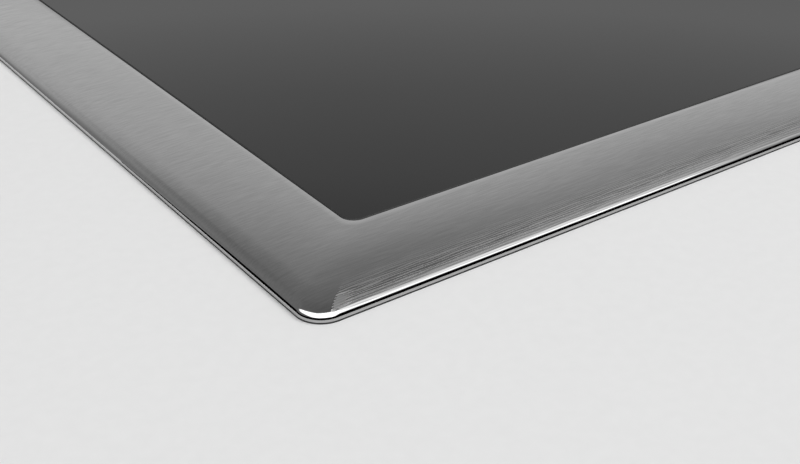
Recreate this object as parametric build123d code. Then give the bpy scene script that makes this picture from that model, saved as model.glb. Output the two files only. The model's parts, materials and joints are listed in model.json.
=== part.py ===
from build123d import *
import math
import os

os.makedirs("parts", exist_ok=True)

# Overall size in millimetres: X to the right along the front edge, Y to the back, Z up from the worktop
frame_length = 762.0
frame_depth = 533.0
box_bottom = -86.0

# Trim frame, pressed from one steel sheet with a rolled outer edge and a shallow crown
frame_width = 30.0
frame_sheet = 1.0
frame_corner_radius = 7.2
glass_corner_radius = 4.2
lip_height = 0.5
bend_radius = 1.0
edge_radius = 4.7
edge_tilt = math.radians(50.0)
shoulder_radius = 45.0
shoulder_tilt = math.radians(9.4)
arc_steps = 4
crown_steps = 3
ledge_width = 9.0
ledge_corner_radius = 3.0
tab_width = 24.0
tab_drop = 16.0

# Glass, its bond on the ledge and the foam strips that seal the frame to the worktop
glass_top = 4.0
glass_thickness = 4.0
glass_gap = 0.4
glass_chamfer = 0.3
bond_thickness = 0.8
bond_width = 5.0
seal_inset = 5.0
seal_width = 10.0
seal_gap = 0.5

# Folded base pan
pan_sheet = 0.8
pan_corner_radius = 6.0
pan_bend_radius = 2.5
slot_width = 4.0
slot_pitch = 8.0
louvre_count = 14
louvre_height = 26.0
louvre_z = -52.0

# Pan-head screws of the chassis and of the boards
screw_radius = 2.0
screw_length = 5.0
board_screw_radius = 1.5
board_screw_length = 6.0
hole_clearance = 0.1

# Cooking zones: flat litz coils carried on springs above two trays
large_coil_radius = 103.0
small_coil_radius = 78.0
coil_inner_radius = 27.0
wire_radius = 1.5
turn_pitch = 3.8
glass_air_gap = 0.3
mica_thickness = 0.5
former_thickness = 8.0
former_rim = 3.0
former_wall_gap = 3.7
sensor_radius = 8.0
sensor_hole_radius = 9.0
sensor_flange = 4.0
sensor_flange_thickness = 2.0
ferrite_width = 12.0
ferrite_height = 5.0
ferrite_margin = 8.0
ferrite_pitch = 13.0
post_count = 3
post_radius = 3.0
post_drop = 6.0
post_clearance = 0.4
tray_top = -26.0
tray_sheet = 1.5
tray_width = 222.0
tray_flange = 14.0
tray_rib = 8.0
tray_hole_radius = 30.0
spring_wire_radius = 0.6
spring_radius = 5.5
spring_turns = 5

# Cooling fans
fan_size = 80.0
fan_height = 25.0
fan_bore_radius = 38.0
fan_hub_radius = 16.0
fan_blade_count = 7
fan_blade_tip_gap = 1.0
fan_blade_pitch = 40.0
fan_blade_chord = 22.0
fan_blade_thickness = 1.5
fan_strut_width = 5.0
fan_strut_height = 3.0
fan_shaft_radius = 1.5
fan_shaft_clearance = 0.05
fan_hole_radius = 2.2

# Electronics on the floor of the box
floor_tray_thickness = 1.6
floor_tray_margin = 30.0
standoff_height = 6.0
standoff_radius = 3.5
board_thickness = 1.6
power_board_length = 190.0
power_board_depth = 190.0
board_edge_gap = 7.0
heatsink_width = 60.0
heatsink_depth = 160.0
heatsink_height = 34.0
heatsink_base = 5.0
heatsink_fins = 8
fin_thickness = 2.0
transistor_size = (5.0, 16.0, 21.0)
transistor_count = 4
transistor_leg = 1.0
capacitor_size = (20.0, 32.0, 30.0)
capacitor_count = 3
filter_board_length = 130.0
filter_board_depth = 170.0
choke_radius = 15.0
choke_section = 6.0

# Touch controls behind the glass at the front
control_length = 176.0
control_depth = 58.0
control_wall = 2.0
control_floor = -13.0
control_board_top = -5.0
control_lip = 3.0
pad_radius = 5.0
pad_count = 8
display_count = 4
display_size = (22.0, 12.0, 4.5)

# Mains connection through the rear wall
terminal_x = 0.0
terminal_size = (84.0, 30.0, 28.0)
terminal_ways = 5
terminal_bore_radius = 2.4
wire_ways = (-2, -1, 1, 2)
mains_wire_radius = 2.2
wire_bend_radius = 12.0
socket_size = (60.0, 14.0, 12.0)
cover_length = 116.0
cover_height = 62.0
cover_sheet = 1.0
cover_z = -52.0
cover_rim = 9.0
inlet_bore_radius = 7.0
inlet_neck_radius = 10.0
inlet_flange_radius = 14.0
inlet_flange = 5.0
inlet_neck = 14.0
inlet_barb = 1.5

# Worktop clamps on the left and right walls
clamp_inset = 12.0
clamp_sheet = 2.5
clamp_width = 40.0
clamp_leg_z = -58.0
clamp_leg_top = -20.0
clamp_reach = 8.0
clamp_pad_top = -42.0
clamp_pad_radius = 8.0
clamp_pad_height = 8.0
clamp_travel = 22.0
clamp_screw_radius = 3.0
clamp_screw_clearance = 0.06
clamp_tip_radius = 2.0
clamp_tip_depth = 5.0
clamp_head_radius = 7.0
clamp_head_height = 4.0

# Levels and reaches that follow from the sizes above
glass_bottom = glass_top - glass_thickness
ledge_top = glass_bottom - bond_thickness
ledge_bottom = ledge_top - frame_sheet
pan_inset = frame_width + ledge_width
pan_length = frame_length - 2 * pan_inset
pan_depth = frame_depth - 2 * pan_inset
inner_length = pan_length - 2 * pan_sheet
inner_depth = pan_depth - 2 * pan_sheet
floor_z = box_bottom + pan_sheet
tab_z = ledge_bottom - tab_drop * 0.6
tray_screw_z = tray_top - tray_flange * 0.6
carrier_screw_z = control_floor * 0.7
mica_top = glass_bottom - glass_air_gap
winding_z = mica_top - mica_thickness - wire_radius
former_top = winding_z - wire_radius
former_bottom = former_top - former_thickness
zone_x = frame_length / 4
zone_y = inner_depth / 2 - large_coil_radius - former_rim - former_wall_gap
board_low = floor_z + floor_tray_thickness + standoff_height
board_high = board_low + board_thickness
fan_x = zone_x + fan_size / 2
fan_y = -zone_y - fan_size * 0.4
floor_tray_length = inner_length - 2 * floor_tray_margin
floor_tray_depth = inner_depth - 2 * floor_tray_margin
board_x = (floor_tray_length - power_board_length) / 2 - board_edge_gap
board_y = fan_y + fan_size / 2 + power_board_depth / 2 + slot_pitch * 2
filter_y = board_y
clamp_x = frame_length / 2 - clamp_inset

SIDES = {"left": -1, "right": 1}
WALLS = {"front": (0, -1), "rear": (0, 1), "left": (-1, 0), "right": (1, 0)}
COILS = {
    "front_left": (-zone_x, -zone_y, large_coil_radius),
    "rear_left": (-zone_x, zone_y, small_coil_radius),
    "front_right": (zone_x, -zone_y, small_coil_radius),
    "rear_right": (zone_x, zone_y, large_coil_radius),
}
nodes = {}


def slab(inset, radius, low, high):
    """Plate with the frame's outline drawn in by inset."""
    outline = RectangleRounded(frame_length - 2 * inset, frame_depth - 2 * inset, radius)
    return Pos(0, 0, low) * extrude(outline, high - low)


def block(x, y, low, length, depth, height):
    """Box centred on x and y, standing on the level low."""
    return Pos(x, y, low + height / 2) * Box(length, depth, height)


def rod(x, y, low, radius, height):
    """Upright cylinder standing on the level low."""
    return Pos(x, y, low + height / 2) * Cylinder(radius, height)


def on_wall(side, along, height, out=0.0):
    """Place on the outside of a box wall: its Z points away from the box and its Y up."""
    nx, ny = WALLS[side]
    reach = (pan_length if nx else pan_depth) / 2 + out
    origin = (nx * reach + abs(ny) * along, ny * reach + abs(nx) * along, height)
    return Plane(origin, x_dir=(-ny, nx, 0), z_dir=(nx, ny, 0)).location


def pan_head_screw(radius, length):
    """Screw along Z with its head above the plane z = 0 and a crossed recess."""
    head_height = radius * 1.2
    head = extrude(Circle(radius * 2), head_height)
    head = fillet(head.edges().sort_by(Axis.Z)[-1], head_height * 0.6)
    for turn in (0, 90):
        head -= Pos(0, 0, head_height) * Rot(0, 0, turn) * Box(radius * 1.8, radius * 0.4, head_height)
    return head + Pos(0, 0, -length / 2) * Cylinder(radius, length)


def board(x, y, length, depth, low, inset):
    """Circuit board with a screw hole near each corner."""
    sheet = block(x, y, low, length, depth, board_thickness)
    for hole_x, hole_y in corners(x, y, length, depth, inset):
        sheet -= rod(hole_x, hole_y, low, board_screw_radius + hole_clearance, board_thickness)
    return sheet


def corners(x, y, length, depth, inset):
    """Four points set in from the corners of a rectangle."""
    reach_x = length / 2 - inset
    reach_y = depth / 2 - inset
    return [(x + i * reach_x, y + j * reach_y) for i in (-1, 1) for j in (-1, 1)]


# Trim frame: rolled edge, crown, drop to the glass ledge and tabs turned down outside the pan
edge_inset = bend_radius + (edge_radius - bend_radius) * math.sin(edge_tilt)
edge_z = lip_height - (edge_radius - bend_radius) * math.cos(edge_tilt)
shoulder_inset = edge_inset + (shoulder_radius - edge_radius) * math.sin(shoulder_tilt)
shoulder_z = edge_z - (shoulder_radius - edge_radius) * math.cos(shoulder_tilt)
crown_across = frame_width - shoulder_inset
crown_tilt = 2 * math.atan((glass_top - shoulder_radius - shoulder_z) / crown_across)
crown_radius = shoulder_radius + crown_across / math.sin(crown_tilt)
ROLLED_ARCS = (
    (bend_radius, lip_height, bend_radius, math.pi / 2, edge_tilt),
    (edge_inset, edge_z, edge_radius, edge_tilt, shoulder_tilt),
    (shoulder_inset, shoulder_z, shoulder_radius, shoulder_tilt, crown_tilt),
)


def frame_section(inset, height, skin):
    """Rounded outline at one station of the frame's profile, skin below its outside."""
    share = (inset - skin) / frame_width
    radius = frame_corner_radius + (glass_corner_radius - frame_corner_radius) * share - skin
    return Pos(0, 0, height) * RectangleRounded(frame_length - 2 * inset, frame_depth - 2 * inset, radius)


def frame_mound(skin):
    """Filled shape below the frame's surface, lowered by skin."""
    rolled = [frame_section(skin, lip_height, skin)]
    for centre_inset, centre_z, radius, first, last in ROLLED_ARCS:
        reach = radius - skin
        steps = arc_steps if reach > 0 else 0
        for step in range(1, steps + 1):
            angle = first + (last - first) * step / steps
            inset = centre_inset - reach * math.sin(angle)
            rolled.append(frame_section(inset, centre_z + reach * math.cos(angle), skin))
    crown = []
    for step in range(crown_steps + 1):
        angle = crown_tilt * (1 - step / crown_steps)
        inset = frame_width - (crown_radius - skin) * math.sin(angle)
        height = glass_top - crown_radius + (crown_radius - skin) * math.cos(angle)
        crown.append(frame_section(inset, height, skin))
    wall = extrude(frame_section(skin, 0, skin), lip_height)
    return wall + loft(rolled, ruled=True) + loft(crown)


hollow = frame_mound(frame_sheet)
opening = slab(frame_width, glass_corner_radius, ledge_bottom, glass_top + frame_sheet)
drop_inset = frame_width - frame_sheet
drop_radius = glass_corner_radius + frame_sheet
trim_frame = frame_mound(0) - hollow - opening
trim_frame += slab(drop_inset, drop_radius, ledge_bottom, glass_top - frame_sheet / 2) - opening
trim_frame += slab(drop_inset, drop_radius, ledge_bottom, ledge_top) - slab(
    pan_inset, ledge_corner_radius, ledge_bottom, ledge_top
)
tab_x = pan_length / 2 - tab_width * 1.75
tab_y = pan_depth / 2 - tab_width * 2.4
TABS = [(side, along) for side in ("front", "rear") for along in (-tab_x, 0, tab_x)]
TABS += [(side, along) for side in ("left", "right") for along in (-tab_y, tab_y)]
for side, along in TABS:
    tab = Pos(0, -tab_drop / 2, frame_sheet / 2) * Box(tab_width, tab_drop + 2 * frame_sheet, frame_sheet)
    trim_frame += on_wall(side, along, ledge_bottom) * tab
    trim_frame -= on_wall(side, along, tab_z) * Cylinder(screw_radius + hole_clearance, 4 * frame_sheet)
nodes["trim_frame"] = trim_frame

# Glass plate with a ground edge, its silicone bond and the foam strips under the frame
glass = slab(frame_width + glass_gap, glass_corner_radius - glass_gap, glass_bottom, glass_top)
nodes["glass_plate"] = chamfer(glass.faces().sort_by(Axis.Z)[-1].edges(), glass_chamfer)
bond_inset = frame_width + (ledge_width - bond_width) / 2
nodes["glass_bond"] = slab(bond_inset, glass_corner_radius, ledge_top, glass_bottom) - slab(
    bond_inset + bond_width, ledge_corner_radius, ledge_top, glass_bottom
)
long_strip = Box(frame_length - 2 * seal_inset, seal_width, 2 * glass_top)
short_strip = Box(seal_width, frame_depth - 2 * (seal_inset + seal_width + seal_gap), 2 * glass_top)
strip_x = (frame_length - seal_width) / 2 - seal_inset
strip_y = (frame_depth - seal_width) / 2 - seal_inset
strips = []
for sign in (-1, 1):
    strips.append(Pos(0, sign * strip_y, 0) * long_strip & hollow)
    strips.append(Pos(sign * strip_x, 0, 0) * short_strip & hollow)
nodes["worktop_seal"] = Compound(strips)

# Base pan with fan intakes in its floor, louvres in its walls and a window for the mains terminals
pan = slab(pan_inset, pan_corner_radius, box_bottom, ledge_bottom)
pan = fillet(pan.faces().sort_by(Axis.Z)[0].edges(), pan_bend_radius)
cavity = slab(pan_inset + pan_sheet, pan_corner_radius - pan_sheet, floor_z, ledge_bottom)
pan -= fillet(cavity.faces().sort_by(Axis.Z)[0].edges(), pan_bend_radius - pan_sheet)
intake_radius = fan_bore_radius - slot_width / 2
intake_rows = int(intake_radius // slot_pitch)
for sign in SIDES.values():
    for row in range(-intake_rows, intake_rows + 1):
        chord = 2 * math.sqrt(intake_radius ** 2 - (row * slot_pitch) ** 2)
        slot = extrude(SlotOverall(max(chord, 2 * slot_width), slot_width), 4 * pan_sheet, both=True)
        pan -= Pos(sign * fan_x, fan_y + row * slot_pitch, box_bottom) * slot
LOUVRES = [("rear", -zone_x), ("rear", zone_x)]
LOUVRES += [(side, along) for side in SIDES for along in (-zone_y, zone_y)]
louvre = extrude(Rot(0, 0, 90) * SlotOverall(louvre_height, slot_width), 4 * pan_sheet, both=True)
for side, along in LOUVRES:
    for step in range(louvre_count):
        place = along + (step - (louvre_count - 1) / 2) * slot_pitch
        pan -= on_wall(side, place, louvre_z) * louvre
pan -= on_wall("rear", terminal_x, cover_z) * Box(
    cover_length - 2 * cover_rim, cover_height - 2 * cover_rim, 4 * pan_sheet
)

# Every screw of the chassis: wall, place along it, height and what it clamps outside the pan
tray_reach = tray_width / 2 - tray_flange * 2
SCREWS = [(side, along, tab_z, frame_sheet) for side, along in TABS]
for side in ("front", "rear"):
    for centre in (-zone_x, zone_x):
        SCREWS += [(side, centre + shift, tray_screw_z, 0) for shift in (-tray_reach, tray_reach)]
SCREWS += [("front", shift, carrier_screw_z, 0) for shift in (-control_length / 3, control_length / 3)]
COVER_SCREWS = corners(terminal_x, cover_z, cover_length, cover_height, cover_rim / 2)
SCREWS += [("rear", along, height, cover_sheet) for along, height in COVER_SCREWS]
clamp_screw_z = (clamp_leg_z + clamp_leg_top) / 2 + clamp_sheet
CLAMP_SHIFT = (-clamp_width / 4, clamp_width / 4)
SCREWS += [(side, shift, clamp_screw_z, clamp_sheet) for side in SIDES for shift in CLAMP_SHIFT]
screw_hole = Cylinder(screw_radius + hole_clearance, 4 * clamp_sheet)
for side, along, height, out in SCREWS:
    pan -= on_wall(side, along, height) * screw_hole
nodes["base_pan"] = pan
chassis_screw = pan_head_screw(screw_radius, screw_length)
nodes["chassis_screws"] = Compound(
    [on_wall(side, along, height, out) * chassis_screw for side, along, height, out in SCREWS]
)

# Aluminium coil trays, screwed to the front and rear walls by their turned-down ends
for side, sign in SIDES.items():
    x = sign * zone_x
    tray = block(x, 0, tray_top - tray_sheet, tray_width, inner_depth, tray_sheet)
    for end in (-1, 1):
        y = end * (inner_depth - tray_sheet) / 2
        tray += block(x, y, tray_top - tray_flange, tray_width, tray_sheet, tray_flange)
        edge_x = x + end * (tray_width - tray_sheet) / 2
        tray += block(edge_x, 0, tray_top - tray_rib, tray_sheet, inner_depth, tray_rib)
    for wall, along, height, out in SCREWS:
        if height == tray_screw_z and along * sign > 0:
            tray -= on_wall(wall, along, height) * screw_hole
    nodes[f"coil_tray_{side}"] = tray


# Coils: former with posts, flat winding, ferrite bars, mica disc, heat sensor and springs
def winding_path(inner, outer):
    """Flat spiral of half circles whose centres alternate half a pitch apart."""
    arcs = []
    radius = inner + wire_radius
    half = 0
    while radius + wire_radius <= outer:
        centre = (0, 0, 0) if half % 2 == 0 else (turn_pitch / 2, 0, 0)
        arcs.append(CenterArc(centre, radius, 180 * (half % 2), 180))
        radius += turn_pitch / 2
        half += 1
    return Wire(arcs)


def least_gap(path, turns):
    """Clear distance between neighbouring turns of a winding, measured on points."""
    per_turn = 24
    points = [path @ (i / (turns * per_turn)) for i in range(int(turns * per_turn) + 1)]
    apart = []
    for i, point in enumerate(points):
        neighbours = points[i + per_turn // 2:i + 2 * per_turn]
        apart += [(point - other).length for other in neighbours]
    return min(apart) - 2 * wire_radius


def biarc(start, start_way, end, end_way):
    """Two arcs that join two points smoothly in the given directions."""
    chord = end - start
    along = chord.dot(start_way + end_way)
    spread = 2 * (1 - start_way.dot(end_way))
    reach = (math.sqrt(along ** 2 + spread * chord.dot(chord)) - along) / spread
    first = start + start_way * reach
    last = end - end_way * reach
    middle = (first + last) * 0.5
    return [
        TangentArc(start, middle, tangent=start_way),
        TangentArc(middle, end, tangent=(last - first).normalized()),
    ]


def coil_spring(length):
    """Compression spring along Z from zero to length, each end lying flat for a quarter turn."""
    quarters = spring_turns * 4
    lift = (length - 2 * spring_wire_radius) / (quarters - 2)
    heights = [spring_wire_radius + lift * min(max(k - 1, 0), quarters - 2) for k in range(quarters + 1)]
    points = []
    ways = []
    for k, height in enumerate(heights):
        angle = k * math.pi / 2
        rise = min(heights[min(k + 1, quarters)] - height, height - heights[max(k - 1, 0)])
        slope = rise / (spring_radius * math.pi / 2)
        points.append(Vector(spring_radius * math.cos(angle), spring_radius * math.sin(angle), height))
        ways.append(Vector(-math.sin(angle), math.cos(angle), slope).normalized())
    arcs = []
    for k in range(quarters):
        arcs += biarc(points[k], ways[k], points[k + 1], ways[k + 1])
    path = Wire(arcs)
    return sweep(Plane(path @ 0, z_dir=path % 0) * Circle(spring_wire_radius), path)


spring = coil_spring(former_bottom - tray_top)
windings = {}
for radius in (small_coil_radius, large_coil_radius):
    path = winding_path(coil_inner_radius, radius)
    turns = len(path.edges()) / 2
    print("winding", radius, "turns", turns, "least gap", round(least_gap(path, turns), 3))
    windings[radius] = sweep(Plane(path @ 0, z_dir=path % 0) * Circle(wire_radius), path)

for name, (x, y, radius) in COILS.items():
    rim = radius + former_rim
    post_reach = (radius + coil_inner_radius) / 2
    former = rod(x, y, former_bottom, rim, former_thickness)
    former -= rod(x, y, former_bottom, sensor_hole_radius, former_thickness)
    bar_count = int(radius // ferrite_pitch)
    bar_length = radius - coil_inner_radius - ferrite_margin
    bar = Pos(post_reach, 0, ferrite_height / 2) * Box(bar_length, ferrite_width, ferrite_height)
    bars = []
    for step in range(bar_count):
        bars.append(Pos(x, y, former_bottom) * Rot(0, 0, step * 360 / bar_count) * bar)
    former -= bars
    springs = []
    tray_name = f"coil_tray_{name.split('_')[1]}"
    for step in range(post_count):
        angle = math.radians((step + 0.5 / bar_count * post_count) * 360 / post_count)
        post_x = x + post_reach * math.cos(angle)
        post_y = y + post_reach * math.sin(angle)
        post_length = former_bottom - tray_top + tray_sheet + post_drop
        former += rod(post_x, post_y, former_bottom - post_length, post_radius, post_length)
        nodes[tray_name] -= rod(
            post_x, post_y, tray_top - 2 * tray_sheet, post_radius + post_clearance, 4 * tray_sheet
        )
        springs.append(Pos(post_x, post_y, tray_top) * spring)
    nodes[tray_name] -= rod(x, y, tray_top - 2 * tray_sheet, tray_hole_radius, 4 * tray_sheet)
    nodes[f"coil_former_{name}"] = former
    nodes[f"coil_winding_{name}"] = Pos(x, y, winding_z) * windings[radius]
    nodes[f"ferrite_bars_{name}"] = Compound(bars)
    mica_low = mica_top - mica_thickness
    mica = rod(x, y, mica_low, radius, mica_thickness)
    nodes[f"mica_disc_{name}"] = mica - rod(x, y, mica_low, sensor_hole_radius, mica_thickness)
    sensor = rod(x, y, former_bottom, sensor_radius, mica_top - former_bottom)
    sensor += rod(
        x, y, former_bottom - sensor_flange_thickness, sensor_radius + sensor_flange, sensor_flange_thickness
    )
    nodes[f"heat_sensor_{name}"] = sensor
    nodes[f"coil_springs_{name}"] = Compound(springs)

# Fans: square frame with struts and a bearing boss, and a bladed rotor on its shaft
for side, sign in SIDES.items():
    x = sign * fan_x
    outline = RectangleRounded(fan_size, fan_size, fan_hole_radius * 2)
    frame = Pos(x, fan_y, floor_z) * extrude(outline, fan_height)
    frame -= rod(x, fan_y, floor_z, fan_bore_radius, fan_height)
    for hole_x, hole_y in corners(x, fan_y, fan_size, fan_size, fan_hole_radius * 2):
        frame -= rod(hole_x, hole_y, floor_z, fan_hole_radius, fan_height)
    for turn in (45, 135):
        strut = Box(2 * fan_bore_radius + fan_strut_width, fan_strut_width, fan_strut_height)
        frame += Pos(x, fan_y, floor_z + fan_strut_height / 2) * Rot(0, 0, turn) * strut
    frame += rod(x, fan_y, floor_z, fan_hub_radius, fan_strut_height)
    frame += rod(x, fan_y, floor_z, fan_hub_radius / 2, fan_height * 0.7)
    frame -= rod(x, fan_y, floor_z + fan_strut_height / 2, fan_shaft_radius + fan_shaft_clearance, fan_height)
    nodes[f"fan_frame_{side}"] = frame

    hub_low = floor_z + fan_strut_height + fan_blade_tip_gap
    hub_height = fan_height - fan_strut_height - 2 * fan_blade_tip_gap
    wall = fan_blade_thickness
    tip = fan_bore_radius - fan_blade_tip_gap
    blades = []
    for step in range(fan_blade_count):
        place = Pos(x, fan_y, hub_low + hub_height / 2) * Rot(0, 0, step * 360 / fan_blade_count)
        blade = Box(tip - fan_hub_radius + 2 * wall, fan_blade_chord, fan_blade_thickness)
        blades.append(place * Pos((tip + fan_hub_radius) / 2, 0, 0) * Rot(fan_blade_pitch, 0, 0) * blade)
    rotor = rod(x, fan_y, hub_low, fan_hub_radius, hub_height) + blades
    rotor &= rod(x, fan_y, hub_low, tip, hub_height)
    rotor -= rod(x, fan_y, hub_low, fan_hub_radius - wall, hub_height - wall)
    shaft_low = floor_z + fan_strut_height
    rotor += rod(x, fan_y, shaft_low, fan_shaft_radius, hub_low + hub_height - shaft_low)
    nodes[f"fan_rotor_{side}"] = rotor

# Floor tray with stand-offs, power boards, heatsinks and the parts on them
FLOOR_BOARDS = {
    "power_board_left": (-board_x, board_y, power_board_length, power_board_depth),
    "power_board_right": (board_x, board_y, power_board_length, power_board_depth),
    "filter_board": (0, filter_y, filter_board_length, filter_board_depth),
}
floor_high = floor_z + floor_tray_thickness
floor_tray = block(0, 0, floor_z, floor_tray_length, floor_tray_depth, floor_tray_thickness)
fan_window = fan_size + 2 * fan_blade_tip_gap
for sign in SIDES.values():
    floor_tray -= block(sign * fan_x, fan_y, floor_z, fan_window, fan_window, floor_tray_thickness)
board_screws = []
board_screw = pan_head_screw(board_screw_radius, board_screw_length)
for name, (x, y, length, depth) in FLOOR_BOARDS.items():
    nodes[name] = board(x, y, length, depth, board_low, standoff_radius * 2)
    for hole_x, hole_y in corners(x, y, length, depth, standoff_radius * 2):
        floor_tray += rod(hole_x, hole_y, floor_high, standoff_radius, standoff_height)
        floor_tray -= rod(hole_x, hole_y, floor_high, board_screw_radius + hole_clearance, standoff_height)
        board_screws.append(Pos(hole_x, hole_y, board_high) * board_screw)
nodes["floor_tray"] = floor_tray
socket_y = filter_y + (filter_board_depth - socket_size[1]) / 2
nodes["filter_board"] += block(0, socket_y, board_high, *socket_size)

transistors = []
capacitors = []
for side, sign in SIDES.items():
    x = sign * board_x
    sink = block(x, board_y, board_high, heatsink_width, heatsink_depth, heatsink_base)
    fin_pitch = (heatsink_width - fin_thickness) / (heatsink_fins - 1)
    for fin in range(heatsink_fins):
        fin_x = x - (heatsink_width - fin_thickness) / 2 + fin * fin_pitch
        sink += block(fin_x, board_y, board_high, fin_thickness, heatsink_depth, heatsink_height)
    nodes[f"heatsink_{side}"] = sink
    width, depth, height = transistor_size
    for step in range(transistor_count):
        part_x = x + sign * (heatsink_width + width) / 2
        part_y = board_y + (step - (transistor_count - 1) / 2) * heatsink_depth / transistor_count
        body = block(part_x, part_y, board_high + width, width, depth, height)
        for leg in (-1, 0, 1):
            leg_y = part_y + leg * depth / 3
            body += block(part_x, leg_y, board_high, transistor_leg, transistor_leg, width)
        transistors.append(body)
    width, depth, height = capacitor_size
    for step in range(capacitor_count):
        part_x = x - sign * (heatsink_width / 2 + width)
        part_y = board_y + (step - (capacitor_count - 1) / 2) * depth * 1.5
        capacitors.append(block(part_x, part_y, board_high, width, depth, height))
nodes["power_transistors"] = Compound(transistors)
nodes["film_capacitors"] = Compound(capacitors)
choke_y = filter_y - filter_board_depth / 5
choke = Pos(0, choke_y, board_high + choke_section) * Torus(choke_radius, choke_section)
nodes["filter_chokes"] = Compound([Pos(sign * choke_radius * 1.6, 0, 0) * choke for sign in SIDES.values()])

# Touch controls: carrier, board, spring-soft pads and number displays
control_y = -inner_depth / 2 + control_depth / 2
control_top = glass_bottom - control_lip / 2
carrier = block(0, control_y, control_floor, control_length, control_depth, control_top - control_floor)
carrier -= block(
    0, control_y, control_floor + control_wall, control_length - 2 * control_wall,
    control_depth - 2 * control_wall, control_top - control_floor
)
board_length = control_length - 2 * control_wall - 2 * glass_gap
board_depth = control_depth - 2 * control_wall - 2 * glass_gap
control_low = control_board_top - board_thickness
board_hole_radius = board_screw_radius + hole_clearance
board_hole_low = control_low - board_screw_length
for hole_x, hole_y in corners(0, control_y, board_length, board_depth, standoff_radius * 1.5):
    carrier += rod(hole_x, hole_y, control_floor, standoff_radius, control_low - control_floor)
    carrier -= rod(hole_x, hole_y, board_hole_low, board_hole_radius, board_screw_length)
    board_screws.append(Pos(hole_x, hole_y, control_board_top) * board_screw)
for wall, along, height, out in SCREWS:
    if wall == "front" and abs(along) < control_length / 2:
        carrier -= on_wall(wall, along, height) * screw_hole
nodes["control_carrier"] = carrier
nodes["control_board"] = board(0, control_y, board_length, board_depth, control_low, standoff_radius * 1.5)
nodes["board_screws"] = Compound(board_screws)
pads = []
pad_y = control_y - board_depth / 6
pad_height = glass_bottom - control_board_top
for step in range(pad_count):
    pad_x = (step - (pad_count - 1) / 2) * control_length / (pad_count + 1)
    pads.append(rod(pad_x, pad_y, control_board_top, pad_radius, pad_height))
nodes["touch_pads"] = Compound(pads)
displays = []
for step in range(display_count):
    display_x = (step - (display_count - 1) / 2) * control_length / (display_count + 1)
    displays.append(block(display_x, control_y + board_depth / 5, control_board_top, *display_size))
nodes["number_displays"] = Compound(displays)

# Mains terminals behind a cover plate with a cable inlet
terminal_y = inner_depth / 2 - inlet_neck - terminal_size[1]
terminals = block(terminal_x, terminal_y, floor_high, *terminal_size)
for way in range(terminal_ways):
    way_x = terminal_x + (way - (terminal_ways - 1) / 2) * terminal_size[0] / terminal_ways
    well = rod(way_x, terminal_y, floor_high + terminal_size[2] / 2, terminal_bore_radius, terminal_size[2])
    entry = Pos(way_x, terminal_y, floor_high + terminal_size[2] / 3) * Rot(90, 0, 0)
    terminals -= well
    terminals -= entry * Cylinder(terminal_bore_radius, terminal_size[1])
nodes["terminal_block"] = terminals
wires = []
wire_z = floor_high + terminal_size[2] / 3
wire_end = filter_y + filter_board_depth / 2
for way in wire_ways:
    way_x = terminal_x + way * terminal_size[0] / terminal_ways
    end_x = way * socket_size[0] / terminal_ways
    bend = (terminal_y - wire_end) / 3
    path = FilletPolyline(
        (way_x, terminal_y, wire_z),
        (way_x, terminal_y - bend, wire_z),
        (end_x, wire_end + bend, wire_z),
        (end_x, wire_end, wire_z),
        radius=wire_bend_radius,
    )
    wires.append(sweep(Plane(path @ 0, z_dir=path % 0) * Circle(mains_wire_radius), path))
nodes["mains_wires"] = Compound(wires)
at_cover = on_wall("rear", terminal_x, cover_z)
cover = at_cover * Pos(0, 0, cover_sheet / 2) * Box(cover_length, cover_height, cover_sheet)
cover -= at_cover * Cylinder(inlet_neck_radius + hole_clearance, 4 * cover_sheet)
for along, height in COVER_SCREWS:
    cover -= on_wall("rear", along, height) * screw_hole
nodes["terminal_cover"] = cover
flange = Pos(0, 0, cover_sheet + inlet_flange / 2) * Cylinder(inlet_flange_radius, inlet_flange)
flange = fillet(flange.edges().sort_by(Axis.Z)[-1], inlet_flange / 2)
neck = Pos(0, 0, cover_sheet - inlet_neck / 2) * Cylinder(inlet_neck_radius, inlet_neck)
barb = Pos(0, 0, -inlet_neck / 4) * Cone(inlet_neck_radius, inlet_neck_radius + inlet_barb, inlet_neck / 2)
through = Pos(0, 0, cover_sheet) * Cylinder(inlet_bore_radius, 4 * inlet_neck)
nodes["cable_inlet"] = at_cover * (flange + neck + barb - through)

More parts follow.
